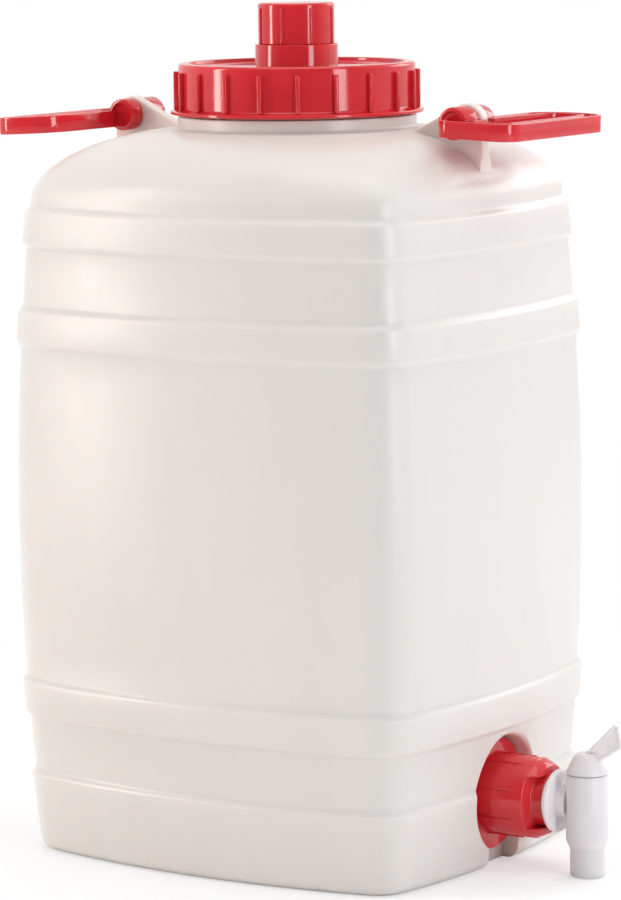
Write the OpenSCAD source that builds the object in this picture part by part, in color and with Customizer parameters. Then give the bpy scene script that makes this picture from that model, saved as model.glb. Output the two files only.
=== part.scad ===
// Barrel-shaped fermenting vessel of about 30 litres: a blow-moulded body with a screw
// lid, a vented centre cap, two folding carrying handles and a tap held by a union nut.
// Millimetres, +Z up. The origin is the centre of the flat foot. +X points out of the
// tap, and the two handles fold out along +X and -X.

/* [Vessel body] */
// Width across the narrow faces at the waist, along X
body_w = 325; // [300:5:360]
// Depth across the wide faces at the waist, along Y
body_d = 288; // [270:2:310]
// How far a wide face bulges out beyond its own ends
wide_bow = 24; // [16:1:28]
// How far a narrow face bulges out beyond its own ends
side_bow = 22; // [14:1:26]
// Radius of the upright corners in plan
corner_r = 36; // [32:1:44]
// Height of the waist, the widest level
waist_z = 220; // [200:5:240]
// Radius of the upright barrel curve
barrel_r = 1850; // [1500:50:3000]
// Height at which the walls end and the shoulder starts
shoulder_z = 430; // [428:1:440]
// Height of the domed shoulder
shoulder_h = 43; // [38:1:52]
// Wall thickness of the blow-moulded shell
wall = 2.6; // [2.4:0.1:3.2]
// Rounding of the bottom edge
base_round = 7; // [5:1:12]
// Inward taper of the foot below its top edge
foot_taper = 1; // [0:0.5:5]
// Height of the foot's top edge
foot_h = 56; // [50:1:60]

/* [Hoops] */
// How far a hoop stands out of the wall
hoop_rise = 3; // [2:0.5:3.5]
// Height of a hoop's sloping edge
hoop_edge = 5; // [3:0.5:6]
// Height of the lower edge of the low hoop
low_hoop_z = 89; // [84:1:94]
// Height of the lower edge of the middle hoop
mid_hoop_z = 333; // [325:1:340]
// Height of the lower edge of the top hoop
top_hoop_z = 397; // [392:1:400]
// Height of every hoop band
hoop_h = 29; // [24:1:31]

/* [Neck] */
// Inner diameter of the neck
neck_bore_d = 139; // [130:1:145]
// Wall thickness of the threaded neck
neck_wall = 3; // [2.5:0.1:4]
// Height of the neck above the shoulder
neck_h = 35; // [32:1:40]
// How far the collar stands out from the neck
collar_w = 5.3; // [4.5:0.1:6]
// Height of the plain collar above the shoulder
collar_h = 8.5; // [7:0.5:8.5]
// Height of the drip ring below the neck inside the shoulder
neck_root_h = 4; // [3:0.5:6]

/* [Lid] */
// How far the lid's flange stands out from its skirt
lid_flange_w = 5.3; // [4:0.1:8]
// Thickness of the lid's flange
lid_flange_t = 3; // [2.5:0.1:4]
// How far the lid's ribs stand out from its skirt
lid_rib_h = 3.1; // [1.5:0.1:3.8]
// Number of grip ribs round the skirt
lid_ribs = 20; // [12:1:30]
// Width of a grip rib
lid_rib_w = 3; // [2:0.5:5]
// Thickness of the lid's skirt
lid_skirt_t = 2.4; // [2:0.1:3]
// Thickness of the lid's top plate
lid_top_t = 2.5; // [2:0.1:3.5]
// Height of the raised rim round the lid's top
lid_rim_h = 2.2; // [1:0.2:3]
// Thickness of the flat sealing ring under the lid
lid_seal_t = 2.6; // [2:0.1:3.2]
// Rise of the lid in one turn
lid_pitch = 8; // [7:0.5:9]
// Number of turns in each ridge of the lid's thread
lid_turns = 1.25; // [1:0.05:1.4]

/* [Centre spout and cap] */
// Inner diameter of the spout in the lid
spout_bore_d = 32; // [24:1:34]
// Wall thickness of the spout
spout_wall = 3; // [2.5:0.5:4]
// Height of the spout above the lid's top plate
spout_h = 36; // [32:1:42]
// How far the collar stands out from the spout
spout_collar_w = 8; // [7.5:0.5:10]
// Height of that collar above the lid's top plate
spout_collar_h = 14; // [11:1:15]
// How far the cap's ribs stand out from its side
cap_rib_h = 0.9; // [0.6:0.1:1.6]
// Thickness of the cap's side
cap_side_t = 3.9; // [3:0.1:4.3]
// Number of ribs on the cap
cap_ribs = 8; // [6:1:12]
// Thickness of the cap's end plate
cap_top_t = 2.4; // [2:0.1:3]
// Thickness of the cap's sealing disc ring
cap_seal_t = 2.2; // [1.6:0.1:3]
// Rise of the cap in one turn
cap_pitch = 5; // [4:0.5:6]
// Number of turns in each ridge of the cap's thread
cap_turns = 1.25; // [1:0.05:1.4]

/* [Handles] */
// Distance of the handles' hinge axis in from the body's side
hinge_in = 32.5; // [29:0.5:36]
// Height of the hinge axis above the shoulder's top
hinge_rise = 6; // [5:0.5:13]
// Thickness of the moulded ear
ear_t = 8; // [6:0.5:10]
// Radius of the ear's rounded top
ear_r = 12; // [10.5:0.5:12.5]
// Diameter of the hinge pin
pin_d = 12; // [9:0.5:13]
// Reach of the handle's grip beyond its hinge axis
handle_reach = 50; // [46:1:60]
// Length of the handle along the hinge axis
handle_len = 126; // [118:1:134]
// How far the handle extends past the ear on its short side
handle_short = 35; // [30:1:38]
// Width of the handle's bars
bar_w = 11; // [9:0.5:12]
// Height of the handle's bars
bar_h = 11; // [9:0.5:12]
// Height of the bars' top face above the hinge axis
bar_lift = 3; // [1:0.5:4]
// Thickness of the web that closes the loop beside the hubs
web_t = 3; // [2:0.5:4]
// Depth of the web's top face below the bars' top face
web_drop = 4; // [2:0.5:4]
// Radius of the hubs round the hinge axis
hub_r = 10.4; // [9.5:0.1:12]
// Length of the long hub along the hinge axis
long_hub_l = 17; // [12:1:24]
// Angle by which the resting handle hangs below level
droop = 2.5; // [0:0.5:5]

/* [Outlet and tap] */
// Height of the outlet's axis
outlet_z = 47; // [46:1:54]
// Distance of the outlet's seat in from the body's side
seat_in = 22.5; // [20:0.5:24]
// Radius of the round recess in the narrow face
recess_r = 38; // [36:0.5:38]
// Width of the slot that opens the recess downwards
slot_w = 38; // [30:1:44]
// Inner diameter of the outlet stub
stub_bore_d = 28; // [22:1:30]
// Outer diameter of the outlet stub
stub_d = 38; // [36:1:40]
// Length of the outlet stub beyond its seat
stub_l = 29; // [27:1:31]
// Gap between the union nut's flange and the recess
nut_flange_gap = 1.5; // [1:0.5:8]
// Thickness of the union nut's flange
nut_flange_t = 3.5; // [3:0.5:5]
// Diameter of the union nut's ribbed part
nut_d = 52; // [50:0.4:56]
// Length of the union nut's ribbed part
nut_l = 35; // [32:0.5:38]
// Number of ribs on the union nut
nut_ribs = 8; // [6:1:16]
// Diameter of the union nut's narrow neck
nut_neck_d = 34.6; // [33:0.2:36]
// Length of that neck
nut_neck_l = 9.5; // [8:0.5:12]
// Length of the two lugs beside the neck
nut_lug_l = 7; // [5:0.5:8]
// Diameter of the tap's round flange
tap_flange_d = 41; // [38:1:44]
// Thickness of the tap's round flange
tap_flange_t = 4; // [3:0.5:6]
// Diameter of the tap's threaded shank
shank_d = 26; // [22:1:27]
// Diameter of the flow way through the shank
shank_bore_d = 13; // [10:1:14]
// Diameter of the tap's upright barrel
tap_barrel_d = 27; // [26:0.5:30]
// Distance of the upright barrel's axis from the flange's front face
tap_reach = 18; // [17:0.5:24]
// Height of the barrel above the outlet's axis
barrel_up = 19.5; // [18:0.5:24]
// Depth of the barrel below the outlet's axis
barrel_down = 24; // [20:1:24]
// Outer diameter of the tap's mouth
mouth_d = 22; // [20:0.5:24]
// Height of the tap's mouth above the floor
mouth_z = 1; // [1:0.5:6]
// Diameter of the turning plug
plug_d = 20; // [18:0.5:21]
// Height of the plug's conical head
head_h = 13; // [10:0.5:16]
// Reach of the lever's blade from the plug's axis
lever_l = 25.5; // [20:0.5:30]
// Height of the blade's tip above the head
lever_rise = 20.5; // [14:0.5:24]
// Depth of the blade at its outer end
lever_w = 16; // [10:0.5:18]
// Thickness of the flat silicone washers at the outlet
washer_t = 2; // [1.5:0.1:3]

/* [Fits] */
// Radial clearance of a turning fit
turn_gap = 0.05; // [0.03:0.01:0.1]
// Gap between faces that slide past each other
side_gap = 0.5; // [0.4:0.1:0.8]
// Radial gap between a thread's crest and the opposite wall
thread_gap = 0.6; // [0.5:0.1:1]

/* [Hidden] */
$fn = 96;
bite = 0.01;                          // overlap that makes two shapes one solid

half_w = body_w / 2;
half_d = body_d / 2;
wide_r = (half_w * half_w + wide_bow * wide_bow) / (2 * wide_bow);
side_r = (half_d * half_d + side_bow * side_bow) / (2 * side_bow);
wide_c = [0, half_d - wide_r];
side_c = [half_w - side_r, 0];
side_steps = 4;
corner_steps = 5;
wide_steps = 5;
quarter_steps = side_steps + corner_steps + wide_steps;
ring_steps = 4 * quarter_steps;

shoulder_power = 1.8;
shoulder_top = shoulder_z + shoulder_h;
neck_r = neck_bore_d / 2 + neck_wall;
neck_join_r = neck_r + 1;
neck_top = shoulder_top + neck_h;
hoops = [low_hoop_z, mid_hoop_z, top_hoop_z];

lid_thread_h = 1.7;                   // radial height of the lid's and the neck's ridges
lid_in_r = neck_r + lid_thread_h + thread_gap;
lid_skirt_r = lid_in_r + lid_skirt_t;
lid_z = shoulder_top + collar_h + 1.2;
lid_under = neck_top + lid_seal_t;
lid_top = lid_under + lid_top_t;
lid_rib_turn = -2.5;                  // angle of the first rib from +X

spout_r = spout_bore_d / 2 + spout_wall;
spout_collar_r = spout_r + spout_collar_w;
spout_top = lid_top + spout_h;
cap_thread_h = 1.3;
cap_in_r = spout_r + cap_thread_h + thread_gap;
cap_z = lid_top + spout_collar_h;
cap_under = spout_top + cap_seal_t;
cap_top = cap_under + cap_top_t;
cap_rib_turn = 10.5;

hinge_x = half_w - hinge_in;
hinge_z = shoulder_top + hinge_rise;
handle_long = handle_len - handle_short;
hub_face = ear_t / 2 + side_gap;
hub_end = hub_face + bar_w;

seat_x = half_w - seat_in;
nut_x = seat_x + washer_t;
neck_x = nut_x + nut_flange_t + nut_l;
nut_end = neck_x + nut_neck_l;
tap_x = nut_end + washer_t;
barrel_x = tap_x + tap_flange_t + tap_reach;
stub_end = seat_x + stub_l;
barrel_top = outlet_z + barrel_up;
barrel_foot = outlet_z - barrel_down;
head_top_d = 14;
nut_rib_turn = 25;                    // angle of the first rib from straight down
nut_thread_h = 1.4;
nut_in_r = stub_d / 2 + nut_thread_h + thread_gap;

function lerp(a, b, t) = a + (b - a) * t;

// Where two circles meet, on the left of the line from the first centre to the second.
function circles_meet(c1, r1, c2, r2) =
    let (d = norm(c2 - c1), along = (r1 * r1 - r2 * r2 + d * d) / (2 * d),
         across = sqrt(r1 * r1 - along * along), u = (c2 - c1) / d)
    c1 + u * along + across * [-u.y, u.x];

// Where the line from a point outside a circle touches it; turn is 1 or -1.
function tangent_point(from, centre, r, turn) =
    let (v = from - centre, a = atan2(v.y, v.x) + turn * acos(r / norm(v)))
    centre + r * [cos(a), sin(a)];

corner_c = circles_meet(side_c, side_r - corner_r, wide_c, wide_r - corner_r);
side_end = atan2(corner_c.y - side_c.y, corner_c.x - side_c.x);
wide_start = atan2(corner_c.y - wide_c.y, corner_c.x - wide_c.x);

function arc_points(c, r, from, to, steps) =
    [for (i = [0 : steps - 1]) let (a = lerp(from, to, i / steps)) c + r * [cos(a), sin(a)]];

// One quarter of the plan, from the +X axis to the +Y axis, moved inwards by inset.
function quarter(inset) = concat(
    arc_points(side_c, side_r - inset, 0, side_end, side_steps),
    arc_points(corner_c, corner_r - inset, side_end, wide_start, corner_steps),
    arc_points(wide_c, wide_r - inset, wide_start, 90, wide_steps),
    [[0, half_d - inset]]);

// The whole plan, anticlockwise from the +X axis.
function plan(inset) =
    let (q = quarter(inset), n = quarter_steps)
    concat([for (i = [0 : n - 1]) q[i]],
           [for (i = [n : -1 : 1]) [-q[i].x, q[i].y]],
           [for (i = [0 : n - 1]) -q[i]],
           [for (i = [n : -1 : 1]) [q[i].x, -q[i].y]]);

// A hoop's share of its rise at height z: 0 beside it, 1 on its band.
function step_up(t) = let (c = min(1, max(0, t))) c * c * (3 - 2 * c);
function hoop_share(z) = max(
    [for (h = hoops) step_up(min(z - h, h + hoop_h - z) / hoop_edge)]);

// How far the outer wall stands inside the waist's outline at height z.
function wall_inset(z) =
    let (wall_z = min(z, shoulder_z), foot = step_up((foot_h - z) / hoop_edge))
    pow(wall_z - waist_z, 2) / (2 * barrel_r)
    + max(0, foot_h - z) / foot_h * foot_taper
    - hoop_rise * max(hoop_share(z), foot);

// How far the shoulder has closed towards the neck at height z, and the reverse.
function shoulder_share(z, h) =
    let (t = min(1, max(0, (z - shoulder_z) / h)))
    1 - pow(1 - pow(t, shoulder_power), 1 / shoulder_power);
function shoulder_height(x) =
    let (full = half_w - wall_inset(shoulder_z), w = (full - x) / (full - neck_join_r))
    shoulder_z + shoulder_h
        * pow(1 - pow(1 - w, shoulder_power), 1 / shoulder_power);

// One ring of the shell: the plan blended into the neck's circle.
function ring(z, inset, share) =
    [for (p = plan(inset)) let (q = lerp(p, neck_join_r * p / norm(p), share)) [q.x, q.y, z]];

edge_levels = [0, 0.5, 1];
hoop_levels = [for (h = hoops) each concat(
    [for (e = edge_levels) h + e * hoop_edge],
    [for (e = edge_levels) h + hoop_h - (1 - e) * hoop_edge])];
waist_levels = [for (i = [1 : 3]) lerp(low_hoop_z + hoop_h, mid_hoop_z, i / 4)];
foot_levels = concat([for (i = [1 : 2]) lerp(base_round, foot_h - hoop_edge, i / 3)],
                     [for (e = edge_levels) foot_h - (1 - e) * hoop_edge]);
wall_levels = concat(foot_levels,
    [for (z = hoop_levels) if (z < waist_z) z], waist_levels,
    [for (z = hoop_levels) if (z > waist_z) z]);
dome_angles = [5, 12, 20, 29, 38, 48, 59, 70, 80, 90];

function dome_rings(h, skin) = [for (a = dome_angles)
    let (share = 1 - pow(cos(a), 2 / shoulder_power))
    ring(shoulder_z + h * pow(sin(a), 2 / shoulder_power),
         wall_inset(shoulder_z) + skin, share)];

function wall_rings(h, skin) =
    [for (z = wall_levels) ring(z, wall_inset(z) + skin, shoulder_share(z, h))];

// Height and inset of the rounded bottom edge, from flat (0 degrees) to upright (90).
function base_height(skin, a) = skin + (base_round - skin) * (1 - cos(a));
function base_inset(skin, a) =
    wall_inset(base_height(skin, a)) + skin + (base_round - skin) * (1 - sin(a));

function base_rings(skin) = [for (a = [0 : 30 : 90])
    ring(base_height(skin, a), base_inset(skin, a), 0)];

// The shell runs up the outside, over the neck's root and down the inside.
module shell() {
    outside = concat(base_rings(0), wall_rings(shoulder_h, 0), dome_rings(shoulder_h, 0));
    inside = concat(base_rings(wall), wall_rings(shoulder_h - wall, wall),
                    dome_rings(shoulder_h - wall, wall));
    last = len(inside) - 1;
    rings = concat(outside, [for (i = [last : -1 : 0]) inside[i]]);
    n = ring_steps;
    count = len(rings);
    sides = [for (k = [0 : count - 2], i = [0 : n - 1])
        let (j = (i + 1) % n, a = k * n + i, b = a + n, c = (k + 1) * n + j, d = k * n + j)
        each [[a, b, c], [a, c, d]]];
    bottom = [for (i = [0 : n - 1]) i];
    floor_inside = [for (i = [n - 1 : -1 : 0]) (count - 1) * n + i];
    polyhedron(points = [for (r = rings) each r],
               faces = concat([bottom], sides, [floor_inside]), convexity = 10);
}

// A screw ridge: a trapezoid carried round a helix about Z, starting at +X and height 0.
module ridge(inner_r, inner_w, outer_r, outer_w, pitch, turns, steps) {
    count = round(turns * steps);
    points = [for (i = [0 : count])
        let (a = 360 * i / steps, z = pitch * i / steps, c = [cos(a), sin(a)])
        each [[inner_r * c.x, inner_r * c.y, z - inner_w / 2],
              [outer_r * c.x, outer_r * c.y, z - outer_w / 2],
              [outer_r * c.x, outer_r * c.y, z + outer_w / 2],
              [inner_r * c.x, inner_r * c.y, z + inner_w / 2]]];
    sides = [for (i = [0 : count - 1], j = [0 : 3])
        let (k = (j + 1) % 4, a = 4 * i + j, b = 4 * i + k)
        each [[a, b, b + 4], [a, b + 4, a + 4]]];
    ends = [[3, 2, 1, 0], [for (j = [0 : 3]) 4 * count + j]];
    polyhedron(points = points, faces = concat(sides, ends), convexity = 4);
}

module tube(outer_r, inner_r, z0, z1) {
    translate([0, 0, z0])
        linear_extrude(z1 - z0)
            difference() {
                circle(r = outer_r);
                circle(r = inner_r);
            }
}

// Children drawn about Z stand on the outlet's axis, with their Z along +X.
module on_outlet(x) {
    translate([x, 0, outlet_z]) rotate([0, 90, 0]) children();
}

module radial_ribs(count, inner_r, outer_r, width, z0, z1) {
    for (i = [0 : count - 1])
        rotate([0, 0, 360 * i / count])
            translate([inner_r, -width / 2, z0])
                cube([outer_r - inner_r, width, z1 - z0]);
}

// ---------------------------------------------------------------- vessel

neck_thread_w = 2.6;                  // width of a ridge at its root
ridge_crest_w = 1.2;

module neck() {
    difference() {
        union() {
            translate([0, 0, shoulder_top - neck_root_h])
                cylinder(r = neck_r + collar_w, h = neck_root_h + collar_h);
            translate([0, 0, shoulder_top]) cylinder(r = neck_r, h = neck_h);
        }
        translate([0, 0, shoulder_top - neck_root_h - 1])
            cylinder(r = neck_bore_d / 2, h = neck_h + neck_root_h + 2);
    }
    translate([0, 0, neck_thread_z])
        ridge(neck_r - 0.6, neck_thread_w, neck_r + lid_thread_h, ridge_crest_w,
              lid_pitch, lid_turns, 60);
}
neck_thread_z = lid_z + 7.5;

// The ear is a flat fin in the mould's parting plane, rooted in the shoulder.
module ear() {
    root_out = hinge_x + 13;
    root_in = neck_join_r + 14;
    pivot = [hinge_x, hinge_z];
    sink = wall / 2;
    inner = [root_in, shoulder_height(root_in) - sink];
    outer = [root_out, shoulder_height(root_out) - sink];
    root = [for (i = [1 : 7]) let (x = lerp(root_out, root_in, i / 8))
        [x, shoulder_height(x) - sink]];
    outline = concat([inner, tangent_point(inner, pivot, ear_r, -1),
                      tangent_point(outer, pivot, ear_r, 1), outer], root);
    translate([0, ear_t / 2, 0])
        rotate([90, 0, 0])
            linear_extrude(ear_t)
                difference() {
                    union() {
                        polygon(outline);
                        translate(pivot) circle(r = ear_r);
                    }
                    translate(pivot) circle(r = pin_d / 2);
                }
}

// Thick pad behind the recess and its slot; its outer end stays inside the sloping wall.
module outlet_pad() {
    pad_t = 3.5;
    back = seat_x - pad_t;
    high = outlet_z + recess_r + pad_t;
    skin = wall - 0.3;
    foot_edge = [for (a = [0 : 30 : 90])
        [half_w - base_inset(skin, a), base_height(skin, a)]];
    wall_edge = [for (i = [1 : 8]) let (z = lerp(base_round, high, i / 8))
        [half_w - wall_inset(z) - skin, z]];
    intersection() {
        union() {
            on_outlet(back) cylinder(r = recess_r + pad_t, h = 40);
            translate([back, -slot_w / 2 - pad_t, 0]) cube([40, slot_w + 2 * pad_t, outlet_z]);
        }
        translate([0, half_d, 0])
            rotate([90, 0, 0])
                linear_extrude(2 * half_d)
                    polygon(concat(foot_edge, wall_edge, [[back, high], [back, skin]]));
    }
}

module recess_cut() {
    on_outlet(seat_x) cylinder(r = recess_r, h = 40);
    translate([seat_x, -slot_w / 2, -1]) cube([40, slot_w, outlet_z + 1]);
}

module vessel() {
    color([0.90, 0.88, 0.84])
        difference() {
            union() {
                difference() {
                    union() {
                        shell();
                        outlet_pad();
                    }
                    recess_cut();
                }
                neck();
                ear();
                rotate([0, 0, 180]) ear();
                on_outlet(seat_x - 1) cylinder(d = stub_d, h = stub_l + 1);
                on_outlet(seat_x + 6)
                    ridge(stub_d / 2 - 0.6, neck_thread_w, stub_d / 2 + nut_thread_h,
                          ridge_crest_w, cap_pitch, 1.5, 40);
            }
            on_outlet(seat_x - 10) cylinder(d = stub_bore_d, h = stub_l + 20);
        }
}

// ---------------------------------------------------------------- outlet and tap

module outlet_washer() {
    color([0.86, 0.85, 0.82])
        on_outlet(0) tube(stub_d / 2, stub_bore_d / 2, stub_end, stub_end + washer_t);
}

// The nut screws onto the stub, and its narrow neck takes the tap's shank.
module outlet_union_nut() {
    inside_end = stub_end + washer_t;
    flange_r = recess_r - nut_flange_gap;
    color([0.78, 0.14, 0.18])
        union() {
            difference() {
                on_outlet(0) union() {
                    translate([0, 0, nut_x]) cylinder(r = flange_r, h = nut_flange_t);
                    translate([0, 0, nut_x]) cylinder(d = nut_d, h = nut_flange_t + nut_l);
                    translate([0, 0, neck_x - 1]) cylinder(d = nut_neck_d, h = nut_neck_l + 1);
                    translate([0, 0, neck_x]) nut_lugs();
                    rotate([0, 0, nut_rib_turn])
                        radial_ribs(nut_ribs, nut_d / 2 - 1, nut_d / 2 + 0.8, 1.6,
                                    nut_x + 1, neck_x - 8);
                }
                on_outlet(nut_x - 1) cylinder(r = nut_in_r, h = inside_end - nut_x + 1);
                on_outlet(nut_x) cylinder(d = shank_d, h = nut_end - nut_x + 1);
            }
            on_outlet(seat_x + 6 - cap_pitch / 2)
                ridge(nut_in_r - nut_thread_h, ridge_crest_w, nut_in_r + 0.6,
                      neck_thread_w, cap_pitch, 1.5, 40);
        }
}

// Two tapering lugs for a spanner, above and below the neck.
module nut_lugs() {
    gap = nut_neck_d - 0.8;
    difference() {
        translate([0, 0, -1])
            cylinder(r1 = nut_d / 2 - 0.5, r2 = tap_flange_d / 2 + 1, h = nut_lug_l + 1);
        translate([-gap / 2, -nut_d, 0]) cube([gap, 2 * nut_d, nut_lug_l + 1]);
    }
}

module tap_washer() {
    color([0.86, 0.85, 0.82])
        on_outlet(0) tube(nut_neck_d / 2 - 0.3, shank_d / 2, nut_end, tap_x);
}

// Flange, shank, upright barrel and downturned mouth in one moulding.
module tap_body() {
    shank_x = stub_end + washer_t + 2;
    color([0.92, 0.91, 0.90])
        difference() {
            union() {
                on_outlet(shank_x) cylinder(d = shank_d, h = tap_x - shank_x + 1);
                on_outlet(tap_x) cylinder(d = tap_flange_d, h = tap_flange_t);
                on_outlet(tap_x) cylinder(d = shank_d - 4, h = barrel_x - tap_x);
                translate([barrel_x, 0, barrel_foot])
                    cylinder(d = tap_barrel_d, h = barrel_top - barrel_foot);
                translate([barrel_x, 0, barrel_foot - 4])
                    cylinder(d1 = mouth_d, d2 = tap_barrel_d, h = 4 + bite);
                translate([barrel_x, 0, mouth_z])
                    cylinder(d = mouth_d, h = barrel_foot - mouth_z);
            }
            on_outlet(shank_x - 1) cylinder(d = shank_bore_d, h = barrel_x - shank_x + 1);
            translate([barrel_x, 0, barrel_foot + 3])
                cylinder(r = plug_d / 2 + turn_gap, h = barrel_top);
            translate([barrel_x, 0, mouth_z - 1]) cylinder(d = mouth_d - 5, h = 40);
        }
}

// The plug's side port faces +Y when shut, and meets the shank's bore a quarter turn on.
module tap_plug() {
    foot = barrel_foot + 3 + side_gap;
    head = barrel_top + side_gap;
    waterway = mouth_d - 9;
    color([0.92, 0.91, 0.90])
        translate([barrel_x, 0, 0]) {
            difference() {
                union() {
                    translate([0, 0, foot]) cylinder(d = plug_d, h = head - foot + 1);
                    translate([0, 0, head])
                        cylinder(d1 = tap_barrel_d, d2 = head_top_d, h = head_h);
                }
                translate([0, 0, foot - 1])
                    cylinder(d = waterway, h = outlet_z + shank_bore_d / 2 - foot + 1);
                translate([0, 0, outlet_z])
                    rotate([-90, 0, 0]) cylinder(d = shank_bore_d - 1, h = plug_d);
            }
            lever(head + head_h);
        }
}

// An upright blade that widens as it leans up and out from the head.
module lever(foot) {
    thick = 3.2;
    tip_r = 2.5;
    high = [lever_l - tip_r - 2, lever_rise - tip_r];
    low = [lever_l - tip_r, lever_rise - lever_w + tip_r];
    along = (high - low) / norm(high - low);
    out = tip_r * [along.y, -along.x];
    start = [-1.5, -1];
    under = [6, -7];
    translate([0, thick / 2, foot])
        rotate([90, 0, 0])
            linear_extrude(thick)
                union() {
                    polygon([start, under, tangent_point(under, low, tip_r, 1), low + out,
                             high + out, tangent_point(start, high, tip_r, -1)]);
                    translate(high) circle(r = tip_r);
                    translate(low) circle(r = tip_r);
                }
}

// ---------------------------------------------------------------- lid

// Everything of the lid that is turned about its axis, before ribs and thread.
module lid_shell() {
    flange_r = lid_skirt_r + lid_flange_w;
    rim_r = lid_skirt_r - 1.2;
    soft = 2.4;
    rotate_extrude()
        difference() {
            union() {
                translate([0, lid_z]) square([flange_r, lid_flange_t]);
                translate([0, lid_z]) square([lid_skirt_r, lid_top + lid_rim_h - soft - lid_z]);
                translate([0, lid_z]) square([rim_r - soft + 1.2, lid_top + lid_rim_h - lid_z]);
                translate([lid_skirt_r - soft, lid_top + lid_rim_h - soft]) circle(r = soft);
                translate([0, lid_top]) square([spout_collar_r, spout_collar_h]);
                translate([0, lid_top]) square([spout_r, spout_h]);
            }
            translate([0, lid_z - 1]) square([lid_in_r, lid_under - lid_z + 1]);
            translate([spout_collar_r, lid_top])
                square([lid_skirt_r - 7 - spout_collar_r, lid_rim_h + 1]);
            translate([spout_r, lid_under - 1])
                square([spout_collar_w - 2.5, lid_top_t + spout_collar_h - 2]);
            translate([0, lid_z]) square([spout_bore_d / 2, spout_top + 1 - lid_z]);
        }
}

module lid() {
    color([0.78, 0.14, 0.18])
        union() {
            lid_shell();
            rotate([0, 0, lid_rib_turn])
                radial_ribs(lid_ribs, lid_skirt_r - 1, lid_skirt_r + lid_rib_h, lid_rib_w,
                            lid_z + lid_flange_t - 0.5, lid_top - 3);
            translate([0, 0, neck_thread_z - lid_pitch / 2])
                ridge(lid_in_r - lid_thread_h, ridge_crest_w, lid_in_r + 0.6, neck_thread_w,
                      lid_pitch, lid_turns, 60);
            translate([0, 0, cap_thread_z])
                ridge(spout_r - 0.6, 2.2, spout_r + cap_thread_h, 1,
                      cap_pitch, cap_turns, 40);
        }
}
cap_thread_z = cap_z + 5.5;

module lid_seal() {
    color([0.80, 0.80, 0.77])
        tube(lid_in_r - 0.4, neck_bore_d / 2 - 1, neck_top, lid_under);
}

module centre_cap() {
    soft = 1.8;
    r = cap_in_r + cap_side_t;
    color([0.78, 0.14, 0.18])
        union() {
            rotate_extrude()
                difference() {
                    union() {
                        translate([0, cap_z]) square([r, cap_top - soft - cap_z]);
                        translate([0, cap_z]) square([r - soft, cap_top - cap_z]);
                        translate([r - soft, cap_top - soft]) circle(r = soft);
                    }
                    translate([0, cap_z - 1]) square([cap_in_r, cap_under - cap_z + 1]);
                }
            rotate([0, 0, cap_rib_turn])
                radial_ribs(cap_ribs, r - 1, r + cap_rib_h, 2.4, cap_z, cap_top - 3);
            translate([0, 0, cap_thread_z - cap_pitch / 2])
                ridge(cap_in_r - cap_thread_h, 1, cap_in_r + 0.6, 2.2,
                      cap_pitch, cap_turns, 40);
        }
}

module centre_cap_seal() {
    color([0.80, 0.80, 0.77])
        tube(cap_in_r - 0.3, spout_bore_d / 2 - 1, spout_top, cap_under);
}

// ---------------------------------------------------------------- handles

// A rectangle with its own radius at each corner: low-low, high-low, high-high, low-high.
module rounded_rect(low, high, radii) {
    corners = [low, [high.x, low.y], high, [low.x, high.y]];
    difference() {
        translate(low) square(high - low);
        for (i = [0 : 3])
            translate(corners[i]) rotate([0, 0, 90 * i]) corner_waste(radii[i]);
    }
}

// What a radius takes off the corner of a square that lies along +X and +Y.
module corner_waste(r) {
    difference() {
        translate([-1, -1]) square(r + 1);
        translate([r, r]) circle(r = r);
    }
}

// The loop lies beside its hinge axis, which runs along Y through the local origin.
module handle() {
    back = 5;
    inner = -5;
    far = handle_long;
    near = -handle_short;
    union() {
        translate([0, 0, bar_lift - bar_h])
            linear_extrude(bar_h)
                difference() {
                    union() {
                        rounded_rect([back, near], [handle_reach, far], [9, 15, 12, 30]);
                        rounded_rect([inner, near], [back + 20, -hub_face], [9, 4, 1, 3]);
                    }
                    rounded_rect([back + bar_w, near + bar_w],
                                 [handle_reach - bar_w, far - bar_w], [6, 8, 6, 14]);
                    translate([back - 1, -hub_face]) square([bar_w + 2, 2 * hub_face]);
                }
        translate([back + bar_w - 1, near + bar_w - 1, bar_lift - web_drop - web_t])
            cube([handle_reach - back - 2 * bar_w + 2, 1 - near - bar_w, web_t]);
        hub(-hub_face - long_hub_l, -hub_face);
        hub(hub_face, hub_end);
        translate([0, hub_face + 1, 0])
            rotate([90, 0, 0])
                cylinder(r = pin_d / 2 - turn_gap, h = 2 * hub_face + 2);
    }
}

// A hub from one end to the other along the hinge axis.
module hub(from, to) {
    translate([0, to, 0])
        rotate([90, 0, 0])
            cylinder(r = hub_r, h = to - from);
}

module placed_handle() {
    translate([hinge_x, 0, hinge_z]) rotate([0, droop, 0]) handle();
}

module handle_right() {
    color([0.78, 0.14, 0.18]) placed_handle();
}

module handle_left() {
    color([0.78, 0.14, 0.18]) rotate([0, 0, 180]) placed_handle();
}

vessel();
outlet_washer();
outlet_union_nut();
tap_washer();
tap_body();
tap_plug();
lid();
lid_seal();
centre_cap();
centre_cap_seal();
handle_right();
handle_left();
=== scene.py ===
import math

import bpy
from mathutils import Matrix, Vector


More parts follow.
